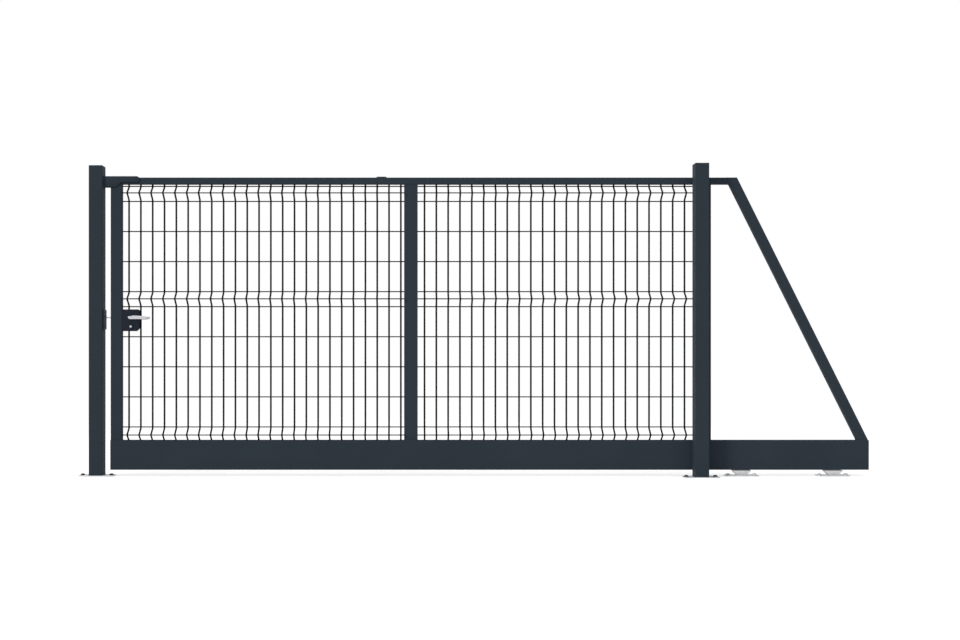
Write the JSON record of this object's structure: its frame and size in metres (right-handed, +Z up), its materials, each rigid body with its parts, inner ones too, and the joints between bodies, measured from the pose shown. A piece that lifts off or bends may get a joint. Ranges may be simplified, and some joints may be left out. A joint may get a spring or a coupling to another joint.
{
  "type": "sliding driveway gate",
  "caption": "Self-supporting sliding driveway gate: a framed leaf of folded wire mesh that rolls on floor carriages past a guide post and closes into a catch post.",
  "frame": {"origin": "centre of the underside of the catch post's base plate, on the ground", "axes": "+X along the gate from the catch post to the leaf's tail, the way the leaf opens; +Y to the back of the gate; +Z up"},
  "size_m": [5.225, 0.221, 2.055],
  "materials": {
    "post_paint": "fine-textured anthracite powder coat",
    "frame_paint": "fine-textured anthracite powder coat",
    "mesh_paint": "anthracite powder coat on welded wire",
    "cap_plastic": "dark moulded plastic",
    "galvanised": "hot-dip galvanised steel",
    "lock_black": "near-black coated lock case",
    "silver": "satin silver",
    "roller_nylon": "dark nylon roller"
  },
  "bodies": {
    "base": {"catch_post": "post_paint", "catch_post_cap": "cap_plastic", "catch_post_plate": "galvanised", "upper_catch": "post_paint", "lock_keep": "lock_black", "guide_post": "post_paint", "guide_post_cap": "cap_plastic", "guide_post_plate": "galvanised", "guide_bracket": "galvanised", "front_guide_roller": "roller_nylon", "rear_guide_roller": "roller_nylon", "front_carriage_plate": "galvanised", "front_carriage_foot": "galvanised", "front_carriage_truck": "galvanised", "rear_carriage_plate": "galvanised", "rear_carriage_foot": "galvanised", "rear_carriage_truck": "galvanised"},
    "leaf": {"bottom_rail": "frame_paint", "rail_front_cap": "cap_plastic", "rail_tail_cap": "cap_plastic", "top_rail": "frame_paint", "front_stile": "frame_paint", "centre_upright": "frame_paint", "rear_stile": "frame_paint", "brace": "frame_paint", "stop_plate": "frame_paint", "left_mesh": "mesh_paint", "right_mesh": "mesh_paint", "lock_box": "lock_black", "key_cylinder": "silver", "rear_key_cylinder": "silver", "latch_tongue": "silver"},
    "handle": {"lever_handle": "silver", "rear_lever": "silver"}
  },
  "joints": [
    {"name": "gate_slide", "type": "slide", "parent": "base", "child": "leaf", "axis": [1, 0, 0], "range_m": [0, 3.59]},
    {"name": "handle_turn", "type": "hinge", "parent": "leaf", "child": "handle", "pos_m": [0.227, 0, 1.05], "axis": [0, 1, 0], "range_deg": [0, 40], "stiffness_Nm_per_rad": 2, "springref_deg": -20.05}
  ]
}
